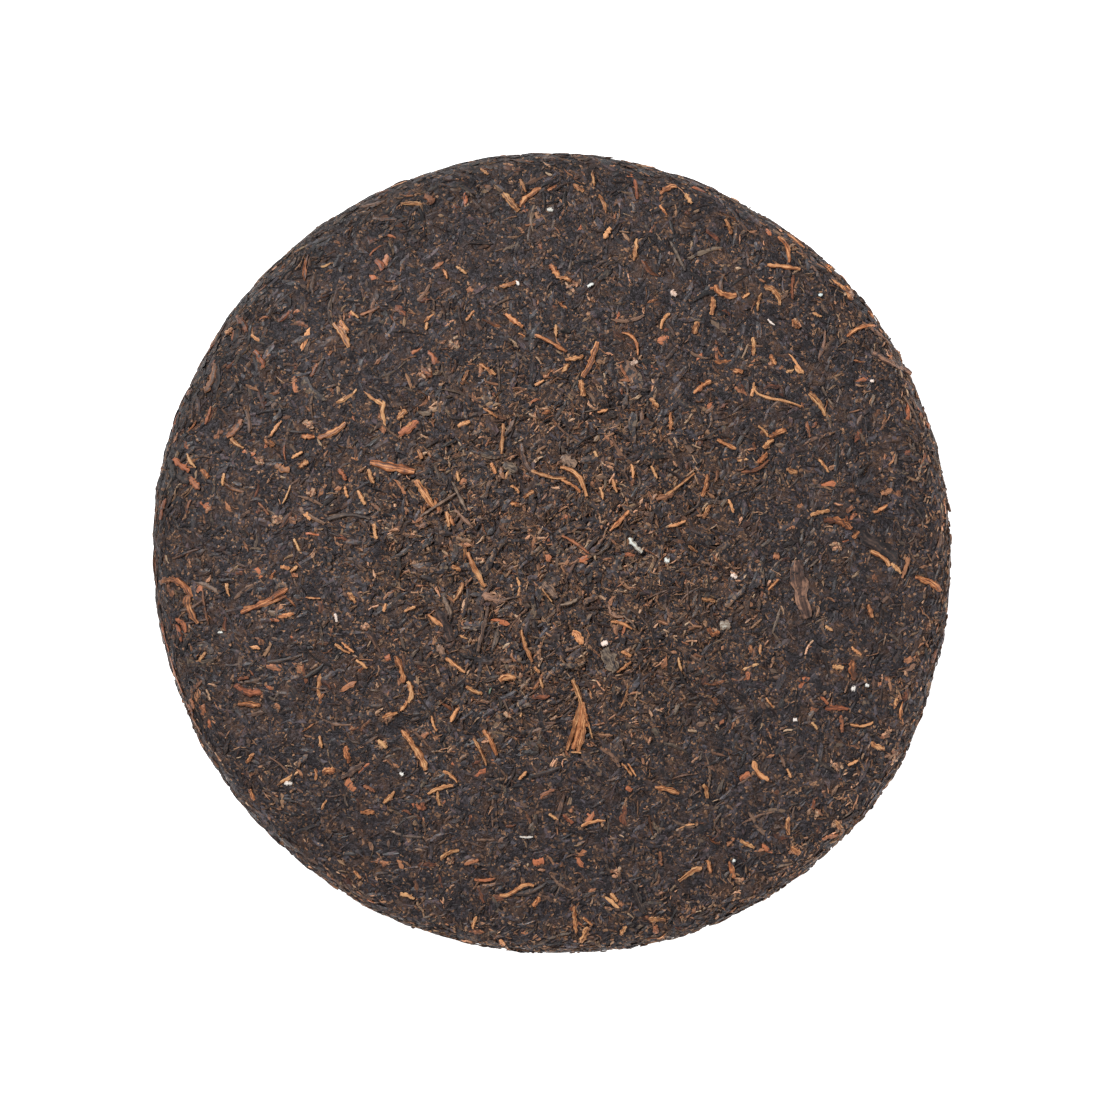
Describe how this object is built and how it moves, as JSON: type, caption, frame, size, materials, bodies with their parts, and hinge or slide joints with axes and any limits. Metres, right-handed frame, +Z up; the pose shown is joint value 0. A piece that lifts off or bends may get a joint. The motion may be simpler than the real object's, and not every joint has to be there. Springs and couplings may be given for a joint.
{
  "type": "pu erh tea cake",
  "caption": "Round pressed cake of dark fermented tea leaf with a gently domed, leafy face, a rounded uneven rim and a dent in its flat underside.",
  "frame": {"origin": "under the middle of the cake, on the surface that it lies on", "axes": "+Z up through the domed face, +Y towards the top of the picture, +X towards its right"},
  "size_m": [0.1994, 0.2012, 0.026],
  "materials": {
    "tea_leaf": "matte"
  },
  "bodies": {
    "root": {"tea_cake": "tea_leaf"}
  },
  "joints": []
}
